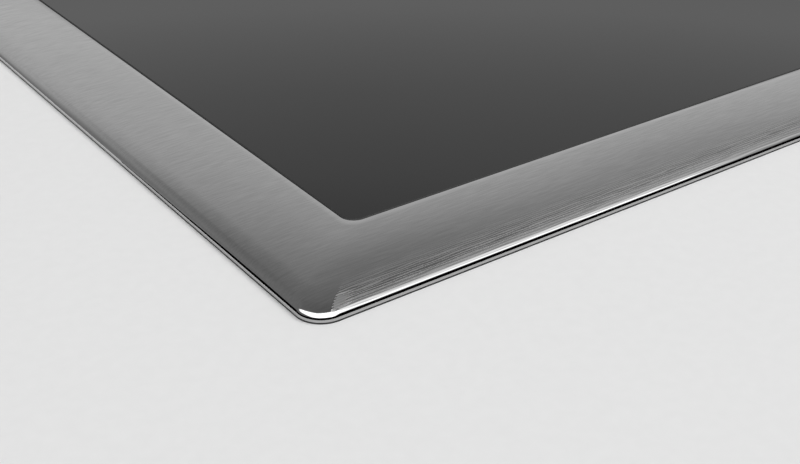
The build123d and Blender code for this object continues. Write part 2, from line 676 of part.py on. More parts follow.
# Worktop clamps: bracket on the wall, jacking screw and the pad it lifts
leg_length = clamp_x + clamp_reach - pan_length / 2
leg_height = clamp_leg_top - clamp_leg_z
head_low = clamp_leg_z - clamp_travel - clamp_head_height - 2 * hole_clearance
for side, sign in SIDES.items():
    at_wall = on_wall(side, 0, clamp_leg_z)
    bracket = at_wall * Pos(0, leg_height / 2, clamp_sheet / 2) * Box(clamp_width, leg_height, clamp_sheet)
    bracket += at_wall * Pos(0, clamp_sheet / 2, leg_length / 2) * Box(clamp_width, clamp_sheet, leg_length)
    web = Plane.YZ * Polyline((0, 0), (leg_height * 0.8, 0), (0, leg_length * 0.5), close=True)
    for edge in (-1, 1):
        gusset = Pos(edge * (clamp_width - clamp_sheet) / 2, 0, 0) * extrude(
            make_face(web), clamp_sheet / 2, both=True
        )
        bracket += at_wall * gusset
    bracket -= rod(sign * clamp_x, 0, clamp_leg_z, clamp_screw_radius + clamp_screw_clearance, clamp_sheet)
    for shift in CLAMP_SHIFT:
        bracket -= on_wall(side, shift, clamp_screw_z) * screw_hole
    nodes[f"clamp_bracket_{side}"] = bracket

    pad_low = clamp_pad_top - clamp_pad_height
    pad = rod(sign * clamp_x, 0, pad_low, clamp_pad_radius, clamp_pad_height)
    pad -= rod(sign * clamp_x, 0, pad_low, clamp_tip_radius + clamp_screw_clearance, clamp_tip_depth)
    nodes[f"clamp_pad_{side}"] = pad
    jack = Pos(sign * clamp_x, 0, head_low) * extrude(RegularPolygon(clamp_head_radius, 6), clamp_head_height)
    shank = pad_low - head_low
    jack += rod(sign * clamp_x, 0, head_low, clamp_screw_radius, shank)
    jack += rod(sign * clamp_x, 0, head_low, clamp_tip_radius, shank + clamp_tip_depth - hole_clearance)
    nodes[f"clamp_screw_{side}"] = jack

for name, shape in nodes.items():
    shape.label = name
    export_step(shape, f"parts/{name}.step")
print(len(nodes), "nodes")
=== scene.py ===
import json
import math

import bmesh
import bpy
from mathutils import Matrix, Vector


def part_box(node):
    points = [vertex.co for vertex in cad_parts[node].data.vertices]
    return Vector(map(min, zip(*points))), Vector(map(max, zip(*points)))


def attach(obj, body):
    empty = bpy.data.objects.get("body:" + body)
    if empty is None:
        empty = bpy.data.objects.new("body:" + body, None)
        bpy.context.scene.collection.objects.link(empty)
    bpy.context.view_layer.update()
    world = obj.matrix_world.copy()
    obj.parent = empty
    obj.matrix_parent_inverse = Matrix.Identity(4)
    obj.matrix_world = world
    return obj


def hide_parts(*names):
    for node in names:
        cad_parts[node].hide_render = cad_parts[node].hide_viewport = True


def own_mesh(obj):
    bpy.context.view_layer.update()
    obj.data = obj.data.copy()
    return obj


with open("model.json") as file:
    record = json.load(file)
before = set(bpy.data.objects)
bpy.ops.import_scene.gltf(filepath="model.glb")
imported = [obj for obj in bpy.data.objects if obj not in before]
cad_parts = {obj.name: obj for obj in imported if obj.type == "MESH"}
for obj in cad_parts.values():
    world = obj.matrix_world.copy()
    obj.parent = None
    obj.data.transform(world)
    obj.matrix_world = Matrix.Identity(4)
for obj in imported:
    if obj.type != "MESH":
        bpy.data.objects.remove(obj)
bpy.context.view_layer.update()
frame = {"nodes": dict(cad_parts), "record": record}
MM = 0.001
ZONES = ("front_left", "rear_left", "front_right", "rear_right")

# Trim frame: reaches read from the solids, profile sizes as in the solids
frame_low, frame_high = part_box("trim_frame")
glass_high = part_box("glass_plate")[1]
pan_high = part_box("base_pan")[1]
HALF_LENGTH = frame_high.x
HALF_DEPTH = frame_high.y
GLASS_TOP = glass_high.z
FRAME_WIDTH = 30.0 * MM
FRAME_SHEET = 1.0 * MM
FRAME_CORNER = 7.2 * MM
GLASS_CORNER = 4.2 * MM
LIP_HEIGHT = 0.5 * MM
BEND_RADIUS = 1.0 * MM
EDGE_RADIUS = 4.7 * MM
EDGE_TILT = math.radians(50.0)
SHOULDER_RADIUS = 45.0 * MM
SHOULDER_TILT = math.radians(9.4)
INNER_RADIUS = 0.15 * MM
LEDGE_TOP = -0.8 * MM
LEDGE_WIDTH = HALF_LENGTH - FRAME_WIDTH - pan_high.x
LEDGE_CORNER = 3.0 * MM
TAB_WIDTH = 24.0 * MM
LONG_SIDE_TAB = pan_high.x - 1.75 * TAB_WIDTH
SHORT_SIDE_TAB = pan_high.y - 2.4 * TAB_WIDTH
GASKET_HEIGHT = 0.45 * MM
GASKET_WIDTH = 0.9 * MM
BEND_STEPS = 16
EDGE_STEPS = 16
SHOULDER_STEPS = 8
CROWN_STEPS = 12
INNER_STEPS = 5
CORNER_STEPS = 24

# Camera of the photograph, measured from its straight edges; ratios are to the camera's height
LENS = 54.0
SENSOR = 36.0
CLIP_START = 0.01
CAMERA_YAW = math.radians(35.687)
CAMERA_PITCH = math.radians(29.746)
FRAME_WIDTH_RATIO = 0.19572
ASIDE_RATIO = 0.12836
BACK_RATIO = 1.45965
CAMERA_HEIGHT = FRAME_WIDTH / FRAME_WIDTH_RATIO
CAMERA_ASIDE = ASIDE_RATIO * CAMERA_HEIGHT
CAMERA_BACK = BACK_RATIO * CAMERA_HEIGHT
FORWARD = (math.sin(CAMERA_YAW), math.cos(CAMERA_YAW), 0)
RIGHTWARD = (math.cos(CAMERA_YAW), -math.sin(CAMERA_YAW), 0)

# Pale worktop board that the cooktop lies on
BOARD_MARGIN = 110.0 * MM
BOARD_THICKNESS = 12.0 * MM
CUT_OUT_INSET = 20.0 * MM

# Springs under the coils: wire and coil radius, turns, and the part of a turn that lies flat at each end
SPRING_WIRE = 0.6 * MM
SPRING_RADIUS = 5.5 * MM
SPRING_TURNS = 5
SPRING_REST_TURN = 0.25
SPRING_STEPS = 24
WIRE_SIDES = 8
WELD_DISTANCE = 0.001 * MM

# Marks printed on the glass: zone crosses, then power, minus and plus signs, level bars and pause
PRINT_HEIGHT = 0.02 * MM
LINE_WIDTH = 0.9 * MM
CROSS_ARM = 11.0 * MM
CROSS_GAP = 2.5 * MM
POWER_X = -72.0 * MM
POWER_RADIUS = 3.6 * MM
POWER_ARC = (120, 420)
POWER_STROKE = 3.6 * MM
POWER_STROKE_Y = 2.9 * MM
ARC_STEPS = 24
SIGN_X = 52.0 * MM
SIGN_LENGTH = 6.0 * MM
PLUS_STROKE = 2.5 * MM
PLUS_STROKE_Y = 1.75 * MM
LEVEL_BARS = 9
LEVEL_PITCH = 9.0 * MM
LEVEL_LENGTH = 5.0 * MM
LEVEL_GROWTH = 0.25
PAUSE_X = 72.0 * MM
PAUSE_HALF_GAP = 1.4 * MM
PAUSE_LENGTH = 6.0 * MM

# Part of a field's range that the finishes use
FIELD_LOW = 0.3
FIELD_HIGH = 0.7

# Brushed steel: direction a little off the axes, noise scales, tones, roughness; UP is how far it faces up
GRAIN = (1.0, 0.02, 0.03)
FINE_GRAIN = (120.0, 2600.0, 2600.0)
FINE_DETAIL = 2.0
BROAD_GRAIN = (150.0, 1800.0, 1800.0)
BROAD_DETAIL = 3.0
GRAIN_PULL = 0.8
GRAIN_BUMP = 0.1
GRAIN_DEPTH = 0.01 * MM
STEEL_TONES = (0.61, 0.71)
SCRATCH_TONES = (0.56, 0.76)
# Painted shade: steel faces turned sideways or down, the lip among them, take a darker grey that stands for
# the shaded floor the lip reflects by the contact
SIDE_SHADE_TONE = 0.5
SIDE_SHADE_UP = (0.2, 0.4)
STEEL_ROUGHNESS = (0.06, 0.12)
SCRATCH_ROUGHNESS = (0.06, 0.28)
ROLLED_ROUGHNESS = 0.03
ROLLED_UP = (0.8, 0.985)

# Coarser brushing: reach in from the long sides, end before the mitre, extra by the mitre
COARSE_FROM = 11.0 * MM
COARSE_FULL = 3.0 * MM
COARSE_GAIN = 1.2
COARSE_START = 5.3 * MM
COARSE_END = 1.0 * MM
COARSE_FADE = 5.0 * MM
MITRE_FROM = 6.0 * MM
MITRE_FULL = 3.0 * MM
MITRE_GAIN = 6.0

# Lines of the coarser brushing; a wave texture turns by so many radians to the unit
SCRATCH_PITCH = 0.7 * MM
SCRATCH_STRETCH = 0.07
SCRATCH_WANDER = 3.5
SCRATCH_BREAK = 3.0
WAVE_RADIANS = 20.0

# Black glass and its ground edge, told apart by how far the surface faces up
GLASS_IOR = 1.5
GLASS_WAVES = (9.0, 9.0, 9.0)
GLASS_DETAIL = 1.0
GLASS_TONES = (0.003, 0.005)
GLASS_ROUGHNESS = (0.03, 0.05)
GROUND_TONE = 0.036
GROUND_ROUGHNESS = 0.55
GROUND_UP = (0.95, 0.995)

# Zinc coating: crystals to the metre, tones and roughness
SPANGLE_SCALE = 190.0
SPANGLE_DARK = (0.5, 0.51, 0.52)
SPANGLE_LIGHT = (0.57, 0.58, 0.59)
SPANGLE_ROUGHNESS = (0.36, 0.5)

# Plain finishes: colour, roughness, metal share, noise scale for each axis, variation and relief
PLAIN_FINISHES = {
    "black_rubber": ((0.025, 0.025, 0.026), 0.75, 0.0, (900, 900, 900), 0.2, 0.03 * MM),
    "bright_steel": ((0.68, 0.68, 0.67), 0.25, 1.0, (400, 400, 400), 0.05, 0.01 * MM),
    "aluminium": ((0.74, 0.75, 0.76), 0.38, 1.0, (20, 700, 700), 0.05, 0.01 * MM),
    "spring_steel": ((0.42, 0.42, 0.43), 0.3, 1.0, (600, 600, 600), 0.1, 0.01 * MM),
    "former_plastic": ((0.72, 0.7, 0.64), 0.55, 0.0, (300, 300, 300), 0.04, 0.02 * MM),
    "copper_litz": ((0.62, 0.26, 0.11), 0.35, 1.0, (1200, 1200, 1200), 0.25, 0.08 * MM),
    "ferrite": ((0.07, 0.07, 0.075), 0.6, 0.2, (700, 700, 700), 0.15, 0.02 * MM),
    "mica": ((0.62, 0.57, 0.45), 0.5, 0.0, (140, 140, 140), 0.18, 0.02 * MM),
    "pale_plastic": ((0.78, 0.77, 0.73), 0.5, 0.0, (500, 500, 500), 0.03, 0.02 * MM),
    "black_plastic": ((0.02, 0.02, 0.021), 0.5, 0.0, (800, 800, 800), 0.2, 0.03 * MM),
    "circuit_board": ((0.02, 0.13, 0.05), 0.3, 0.0, (260, 260, 260), 0.2, 0.01 * MM),
    "capacitor_case": ((0.06, 0.1, 0.32), 0.35, 0.0, (300, 300, 300), 0.08, 0.01 * MM),
    "pad_foam": ((0.09, 0.09, 0.09), 0.85, 0.0, (1500, 1500, 1500), 0.3, 0.1 * MM),
    "wire_sleeve": ((0.25, 0.12, 0.05), 0.55, 0.0, (500, 500, 500), 0.1, 0.02 * MM),
    "print": ((0.6, 0.6, 0.6), 0.45, 0.0, (900, 900, 900), 0.05, 0.001 * MM),
    "board": ((0.76, 0.76, 0.76), 0.6, 0.0, (300, 300, 300), 0.01, 0.005 * MM),
    "card": ((0.002, 0.002, 0.002), 0.9, 0.0, (300, 300, 300), 0.1, 0.005 * MM),
}
DULL_FINISHES = ("board", "card")
PLAIN_DETAIL = 4.0
PLAIN_BUMP = 0.3
ROUGHNESS_SWING = 0.15

# Soft fills: place, width, height and power; the first two are placed from the front-left corner
CORNER_FILLS = {
    "side_fill": ((1.5, -0.8, 2.4), 2.0, 2.0, 39.5),
    "left_fill": ((-1.5, -0.3, 1.2), 1.2, 1.2, 8.0),
}
LOW_FILL = ((0.0, -1.5, -0.9), 2.0, 1.0, 12.0)
LOW_FILL_AIM = (0.0, 0.0, -0.05)

# Studio surround: levels of light by elevation in degrees
BACKDROP_LEVEL = 0.78
BELOW = ((-90, 0.5), (-3, 0.5))
SIDE_LEVELS = BELOW + ((0, 0.2), (12, 0.32), (19, 0.26), (24, 0.17), (45, 0.16), (90, 0.12))
MIDDLE_LEVELS = BELOW + (
    (0, 0.19), (20, 0.2), (26, 0.215), (30, 0.22), (36, 0.185), (40, 0.175), (90, 0.12),
)
FAR_LEVELS = BELOW + (
    (0, 0.25), (13, 0.25), (19, 0.6), (23, 0.5), (27, 0.465), (31, 0.36),
    (33, 0.285), (36, 0.205), (40, 0.165), (44, 0.16), (90, 0.1),
)
RIGHT_LEVELS = BELOW + (
    (0, 0.25), (13, 0.25), (19, 0.6), (23, 0.5), (26, 0.42), (28, 0.33),
    (31, 0.27), (34, 0.22), (38, 0.205), (44, 0.195), (90, 0.1),
)
FRONT_LEVELS = BELOW + ((0, 0.25), (18, 0.45), (32, 0.3), (46, 0.15), (90, 0.12))
GLOW_LEVELS = ((-90, 0), (32, 0), (42, 0.22), (60, 0.22), (70, 0), (90, 0))

# Walls laid over the side levels, and the glow: direction, then where it starts and is full
WALLS = (
    (MIDDLE_LEVELS, FORWARD, 0.25, 0.45),
    (FAR_LEVELS, FORWARD, 0.42, 0.7),
    (RIGHT_LEVELS, RIGHTWARD, 0.08, 0.34),
    (FRONT_LEVELS, (0, -1, 0), 0.15, 0.35),
)
GLOW_EDGE = (RIGHTWARD, 0.15, 0.5)

# Lamps on a ceiling one unit up: level, then each edge's direction and where it is dark and fully lit
LAMP_SIDES = (
    ((1, 0.35, 0), -0.71, -0.61),
    ((1, 1.7, 0), -1.2, -1.1),
    ((0, 1, 0), -0.89, -0.84),
    ((0, 1, 0), 1.2, 0.7),
)
SMALL_LAMP_SIDES = (
    ((1, 0, 0), 0.4, 0.5),
    ((1, 0, 0), 1.9, 0.6),
    ((0, 1, 0), -0.89, -0.84),
    ((0, 1, 0), -0.24, -0.34),
)
LAMPS = (
    (2.0, LAMP_SIDES + (((0.67, 1, 0), -0.05, -0.13), ((1.85, 1, 0), 0.55, 0.4))),
    (2.0, LAMP_SIDES + (((1.57, 1, 0), -0.2, -0.34),)),
    (2.0, LAMP_SIDES + (((1, 0, 0), 1.27, 1.15), ((0, 1, 0), -0.6, -0.68))),
    (1.0, SMALL_LAMP_SIDES),
)
LAMP_FLOOR = ((-90, 0), (18, 0), (22, 1), (90, 1))

# Black card round the front-left corner: millimetres from it along each side, and the height there
CARD_GAP = 6.0 * MM
CARD_FRONT = ((330.0, 2.0), (240.0, 9.1), (80.0, 8.9), (16.0, 8.6), (8.0, 9.0), (2.0, 12.0))
CARD_LEFT = (
    (2.0, 11.0), (5.0, 8.2), (8.0, 5.8), (30.0, 6.1), (50.0, 5.9), (68.0, 5.2), (86.0, 4.0), (112.0, 1.5),
)


def new_object(name, data):
    """Object for a finished mesh, camera or light, linked to the scene."""
    made = bpy.data.objects.new(name, data)
    bpy.context.scene.collection.objects.link(made)
    return made


def mesh_from(name, build):
    """Mesh filled by a function that works on an empty bmesh."""
    work = bmesh.new()
    build(work)
    bmesh.ops.recalc_face_normals(work, faces=work.faces)
    mesh = bpy.data.meshes.new(name)
    work.to_mesh(mesh)
    work.free()
    return mesh


def add_box(work, low, high):
    """Block between two corners."""
    made = bmesh.ops.create_cube(work, size=1.0)
    size = Vector(high) - Vector(low)
    middle = (Vector(high) + Vector(low)) / 2
    for vert in made["verts"]:
        vert.co = Vector(a * b for a, b in zip(vert.co, size)) + middle


def join_loops(work, here, there, smooth):
    """Band of quads between two closed loops of as many points."""
    count = len(here)
    for i in range(count):
        j = (i + 1) % count
        work.faces.new((here[i], here[j], there[j], there[i])).smooth = smooth


def front_left_corner(z):
    """Outer corner of the frame that the camera looks at, at a level."""
    return Vector((-HALF_LENGTH, -HALF_DEPTH, z))


# Camera
def add_camera():
    """Camera at the photograph's place, aimed down at the front-left corner."""
    right = Vector(RIGHTWARD)
    forward = Vector(FORWARD)
    data = bpy.data.cameras.new("camera")
    data.lens = LENS
    data.sensor_width = SENSOR
    data.clip_start = CLIP_START
    camera = new_object("camera", data)
    camera.location = front_left_corner(CAMERA_HEIGHT) + right * CAMERA_ASIDE - forward * CAMERA_BACK
    look = forward * math.cos(CAMERA_PITCH) - Vector((0, 0, math.sin(CAMERA_PITCH)))
    camera.rotation_mode = "QUATERNION"
    camera.rotation_quaternion = look.to_track_quat("-Z", "Y")
    bpy.context.scene.camera = camera


# Trim frame
def frame_profile():
    """Stations round the frame's section: inset, height, corner radius and whether the edge is sharp."""
    edge_inset = BEND_RADIUS + (EDGE_RADIUS - BEND_RADIUS) * math.sin(EDGE_TILT)
    edge_z = LIP_HEIGHT - (EDGE_RADIUS - BEND_RADIUS) * math.cos(EDGE_TILT)
    shoulder_inset = edge_inset + (SHOULDER_RADIUS - EDGE_RADIUS) * math.sin(SHOULDER_TILT)
    shoulder_z = edge_z - (SHOULDER_RADIUS - EDGE_RADIUS) * math.cos(SHOULDER_TILT)
    across = FRAME_WIDTH - shoulder_inset
    tilt = 2 * math.atan((GLASS_TOP - SHOULDER_RADIUS - shoulder_z) / across)
    crown = SHOULDER_RADIUS + across / math.sin(tilt)
    arcs = (
        (BEND_RADIUS, LIP_HEIGHT, BEND_RADIUS, math.pi / 2, EDGE_TILT, BEND_STEPS),
        (edge_inset, edge_z, EDGE_RADIUS, EDGE_TILT, SHOULDER_TILT, EDGE_STEPS),
        (shoulder_inset, shoulder_z, SHOULDER_RADIUS, SHOULDER_TILT, tilt, SHOULDER_STEPS),
        (FRAME_WIDTH, GLASS_TOP - crown, crown, tilt, math.asin(INNER_RADIUS / crown), CROWN_STEPS),
    )

    def corner(inset):
        return FRAME_CORNER + (GLASS_CORNER - FRAME_CORNER) * min(inset / FRAME_WIDTH, 1)

    def over(skin, share):
        """Bend, rolled edge, shoulder and crown from the lip inwards, lowered by skin."""
        points = [(skin, LIP_HEIGHT)]
        for inset, z, radius, first, last, steps in arcs:
            if radius <= skin:
                continue
            steps //= share
            reach = radius - skin
            for step in range(1, steps + 1):
                angle = first + (last - first) * step / steps
                points.append((inset - reach * math.sin(angle), z + reach * math.cos(angle)))
        return points

    stations = [(0, 0, corner(0), True)]
    stations += [(inset, z, corner(inset), False) for inset, z in over(0, 1)]
    for step in range(1, INNER_STEPS + 1):
        angle = math.pi / 2 * step / INNER_STEPS
        inset = FRAME_WIDTH - INNER_RADIUS * (1 - math.sin(angle))
        z = GLASS_TOP - INNER_RADIUS * (1 - math.cos(angle))
        stations.append((inset, z, corner(inset), False))
    ledge_inset = FRAME_WIDTH + LEDGE_WIDTH
    ledge_bottom = LEDGE_TOP - FRAME_SHEET
    back_inset = FRAME_WIDTH - FRAME_SHEET
    under = [point for point in over(FRAME_SHEET, 2) if point[0] < back_inset]
    stations.append((FRAME_WIDTH, LEDGE_TOP, GLASS_CORNER, True))
    stations.append((ledge_inset, LEDGE_TOP, LEDGE_CORNER, True))
    stations.append((ledge_inset, ledge_bottom, LEDGE_CORNER, True))
    stations.append((back_inset, ledge_bottom, GLASS_CORNER + FRAME_SHEET, True))
    stations.append((back_inset, under[-1][1], GLASS_CORNER + FRAME_SHEET, True))
    for inset, z in reversed(under):
        stations.append((inset, z, corner(inset - FRAME_SHEET) - FRAME_SHEET, False))
    stations.append((FRAME_SHEET, 0, FRAME_CORNER - FRAME_SHEET, True))
    return stations


def rounded_loop(inset, z, radius):
    """Points round a rounded rectangle, corner by corner."""
    points = []
    for quarter, (side_x, side_y) in enumerate(((1, 1), (-1, 1), (-1, -1), (1, -1))):
        centre_x = side_x * (HALF_LENGTH - inset - radius)
        centre_y = side_y * (HALF_DEPTH - inset - radius)
        for step in range(CORNER_STEPS + 1):
            angle = math.pi / 2 * (quarter + step / CORNER_STEPS)
            points.append((centre_x + radius * math.cos(angle), centre_y + radius * math.sin(angle), z))
    return points


def add_rings(work, stations):
    """Closed ring of quads through the stations of a section."""
    rings = [[work.verts.new(point) for point in rounded_loop(*station[:3])] for station in stations]
    for here, there in zip(rings, rings[1:] + rings[:1]):
        join_loops(work, here, there, True)
    for (*_, sharp), ring in zip(stations, rings):
        if sharp:
            for here, there in zip(ring, ring[1:] + ring[:1]):
                work.edges.get((here, there)).smooth = False


def tab_boxes():
    """Corners of the tabs turned down outside the box, three on each long side and two on each short."""
    half = TAB_WIDTH / 2
    low = frame_low.z
    high = LEDGE_TOP - FRAME_SHEET / 2
    boxes = []
    for along in (-LONG_SIDE_TAB, 0, LONG_SIDE_TAB):
        for side in (-1, 1):
            near, far = sorted((side * pan_high.y, side * (pan_high.y + FRAME_SHEET)))
            boxes.append(((along - half, near, low), (along + half, far, high)))
    for along in (-SHORT_SIDE_TAB, SHORT_SIDE_TAB):
        for side in (-1, 1):
            near, far = sorted((side * pan_high.x, side * (pan_high.x + FRAME_SHEET)))
            boxes.append(((near, along - half, low), (far, along + half, high)))
    return boxes


def add_trim_frame():
    """Whole pressed frame as one ring with its tabs."""
    def build(work):
        add_rings(work, frame_profile())
        for low, high in tab_boxes():
            add_box(work, low, high)

    made = new_object("steel_frame", mesh_from("steel_frame", build))
    made.data.materials.append(materials["brushed_steel"])
    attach(made, "chassis")
    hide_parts("trim_frame")


def add_gasket():
    """Thin rubber bead between the frame's lip and the worktop."""
    stations = []
    for inset, z in ((0, -GASKET_HEIGHT), (0, 0), (GASKET_WIDTH, 0), (GASKET_WIDTH, -GASKET_HEIGHT)):
        stations.append((inset, z, FRAME_CORNER - inset, True))
    made = new_object("lip_gasket", mesh_from("lip_gasket", lambda work: add_rings(work, stations)))
    made.data.materials.append(materials["black_rubber"])
    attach(made, "chassis")


# Springs, drawn as wire helices between the levels of the solids they replace
def add_helix(work, centre, low, high):
    """One helical spring as a tube between two levels, with closed ends."""
    climb = SPRING_TURNS - 2 * SPRING_REST_TURN
    rings = []
    for step in range(SPRING_TURNS * SPRING_STEPS + 1):
        share = min(max(step / SPRING_STEPS - SPRING_REST_TURN, 0), climb) / climb
        z = low + SPRING_WIRE + (high - low - 2 * SPRING_WIRE) * share
        angle = 2 * math.pi * step / SPRING_STEPS
        ring = []
        for side in range(WIRE_SIDES):
            turn = 2 * math.pi * side / WIRE_SIDES
            reach = SPRING_RADIUS + SPRING_WIRE * math.cos(turn)
            rise = z + SPRING_WIRE * math.sin(turn)
            place = Vector((reach * math.cos(angle), reach * math.sin(angle), rise))
            ring.append(work.verts.new(centre + place))
        rings.append(ring)
    for here, there in zip(rings, rings[1:]):
        join_loops(work, here, there, True)
    work.faces.new(rings[0])
    work.faces.new(rings[-1])


def islands(node):
    """Middles, in plan, of the separate solids in a CAD node."""
    work = bmesh.new()
    work.from_mesh(frame["nodes"][node].data)
    bmesh.ops.remove_doubles(work, verts=work.verts, dist=WELD_DISTANCE)
    left = set(work.verts)
    middles = []
    for first in work.verts:
        if first not in left:
            continue
        left.remove(first)
        group = [first]
        for vert in group:
            for edge in vert.link_edges:
                other = edge.other_vert(vert)
                if other in left:
                    left.remove(other)
                    group.append(other)
        xs = [vert.co.x for vert in group]
        ys = [vert.co.y for vert in group]
        middles.append(Vector(((min(xs) + max(xs)) / 2, (min(ys) + max(ys)) / 2, 0)))
    work.free()
    return middles


def spring_mesh(name, centres, low, high):
    """Springs of one coil as one mesh."""
    def build(work):
        for centre in centres:
            add_helix(work, centre, low, high)

    return mesh_from(name, build)


def add_springs():
    """Springs of each coil in place of the rigid solids."""
    for zone in ZONES:
        node = f"coil_springs_{zone}"
        low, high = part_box(node)
        made = new_object(node + "_wire", spring_mesh(node + "_wire", islands(node), low.z, high.z))
        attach(made, "chassis")
        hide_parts(node)
        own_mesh(made)
        made.data.materials.append(materials["spring_steel"])


# Helpers for shader nodes
def grey(level):
    """Neutral colour."""
    return (level, level, level)


def new_material(name):
    """Material with its shader, ready for more nodes."""
    made = bpy.data.materials.new(name)
    made.use_nodes = True
    nodes = made.node_tree.nodes
    return made, nodes, made.node_tree.links, nodes["Principled BSDF"]


def calculate(nodes, links, operation, *terms):
    """Result of one step of arithmetic on links."""
    made = nodes.new("ShaderNodeMath")
    made.operation = operation
    for i, term in enumerate(terms):
        links.new(term, made.inputs[i])
    return made.outputs["Value"]


def split_axes(nodes, links, vector):
    """Links of a vector's X, Y and Z."""
    made = nodes.new("ShaderNodeSeparateXYZ")
    links.new(vector, made.inputs["Vector"])
    return made.outputs["X"], made.outputs["Y"], made.outputs["Z"]


def map_range(nodes, links, field, start, full, low=0.0, high=1.0):
    """Node that maps a field from one range of numbers to another."""
    made = nodes.new("ShaderNodeMapRange")
    made.inputs["From Min"].default_value = start
    made.inputs["From Max"].default_value = full
    made.inputs["To Min"].default_value = low
    made.inputs["To Max"].default_value = high
    links.new(field, made.inputs["Value"])
    return made


def noise_field(nodes, links, stretch, detail):
    """Noise in the object's own metres, stretched by a scale for each axis."""
    place = nodes.new("ShaderNodeTexCoord")
    mapping = nodes.new("ShaderNodeMapping")
    mapping.inputs["Scale"].default_value = stretch
    noise = nodes.new("ShaderNodeTexNoise")
    noise.inputs["Scale"].default_value = 1.0
    noise.inputs["Detail"].default_value = detail
    links.new(place.outputs["Object"], mapping.inputs["Vector"])
    links.new(mapping.outputs["Vector"], noise.inputs["Vector"])
    return noise.outputs["Fac"]


def spread(nodes, links, field, low, high):
    """Field mapped to a range of numbers."""
    return map_range(nodes, links, field, FIELD_LOW, FIELD_HIGH, low, high).outputs["Result"]


def shade(nodes, links, field, dark, light):
    """Field mapped to a range of colours."""
    ramp = nodes.new("ShaderNodeValToRGB")
    ramp.color_ramp.elements[0].position = FIELD_LOW
    ramp.color_ramp.elements[0].color = (*dark, 1)
    ramp.color_ramp.elements[1].position = FIELD_HIGH
    ramp.color_ramp.elements[1].color = (*light, 1)
    links.new(field, ramp.inputs["Fac"])
    return ramp.outputs["Color"]


def shade_grey(nodes, links, field, levels):
    """Field mapped between two grey levels."""
    return shade(nodes, links, field, *map(grey, levels))


def colour_mix(nodes, links, share, colour):
    """Node that mixes a colour in by a share, over what its input A holds."""
    made = nodes.new("ShaderNodeMix")
    made.data_type = "RGBA"
    links.new(share, made.inputs["Factor"])
    links.new(colour, made.inputs["B"])
    return made


def add_bump(nodes, links, shader, field, strength, distance):
    """Small relief from a field."""
    bump = nodes.new("ShaderNodeBump")
    bump.inputs["Strength"].default_value = strength
    bump.inputs["Distance"].default_value = distance
    links.new(field, bump.inputs["Height"])
    links.new(bump.outputs["Normal"], shader.inputs["Normal"])


# Finishes
def plain_finish(name, colour, roughness, metallic, stretch, vary, relief):
    """Finish whose colour, roughness and relief follow one stretched noise."""
    made, nodes, links, shader = new_material(name)
    shader.inputs["Metallic"].default_value = metallic
    field = noise_field(nodes, links, stretch, PLAIN_DETAIL)
    dark = [c * (1 - vary) for c in colour]
    light = [min(c * (1 + vary), 1) for c in colour]
    least = roughness * (1 - ROUGHNESS_SWING)
    most = roughness * (1 + ROUGHNESS_SWING)
    links.new(shade(nodes, links, field, dark, light), shader.inputs["Base Color"])
    links.new(spread(nodes, links, field, least, most), shader.inputs["Roughness"])
    add_bump(nodes, links, shader, field, PLAIN_BUMP, relief)
    return made


def coarse_zone(nodes, links):
    """Share of coarser brushing along the long sides, strongest where it stops short of the corners."""
    place = nodes.new("ShaderNodeTexCoord")
    from_middle = nodes.new("ShaderNodeVectorMath")
    from_middle.operation = "ABSOLUTE"
    links.new(place.outputs["Object"], from_middle.inputs[0])
    along, across, _ = split_axes(nodes, links, from_middle.outputs["Vector"])
    mitre = calculate(nodes, links, "SUBTRACT", along, across)
    end = HALF_LENGTH - HALF_DEPTH - COARSE_START
    shares = []
    for field, start, full, most in (
        (across, HALF_DEPTH - COARSE_FROM, HALF_DEPTH - COARSE_FULL, COARSE_GAIN),
        (mitre, end + COARSE_END, end, 1.0),
        (across, HALF_DEPTH - MITRE_FROM, HALF_DEPTH - MITRE_FULL, MITRE_GAIN),
        (mitre, end - COARSE_FADE, end, 1.0),
    ):
        shares.append(map_range(nodes, links, field, start, full, 0.0, most).outputs["Result"])
    long_side, before_mitre, edge, at_mitre = shares
    extra = calculate(nodes, links, "MULTIPLY", edge, at_mitre)
    whole = calculate(nodes, links, "ADD", long_side, extra)
    return calculate(nodes, links, "MULTIPLY", whole, before_mitre)


def scratch_lines(nodes, links):
    """Fine lines along X, a steady distance apart, that wander and break."""
    place = nodes.new("ShaderNodeTexCoord")
    mapping = nodes.new("ShaderNodeMapping")
    mapping.inputs["Scale"].default_value = (SCRATCH_STRETCH, 1.0, 0.0)
    wave = nodes.new("ShaderNodeTexWave")
    wave.bands_direction = "Y"
    wave.inputs["Scale"].default_value = 2 * math.pi / (WAVE_RADIANS * SCRATCH_PITCH)
    wave.inputs["Distortion"].default_value = SCRATCH_WANDER
    wave.inputs["Detail"].default_value = 0.0
    wave.inputs["Detail Scale"].default_value = SCRATCH_BREAK
    links.new(place.outputs["Object"], mapping.inputs["Vector"])
    links.new(mapping.outputs["Vector"], wave.inputs["Vector"])
    return wave.outputs["Fac"]


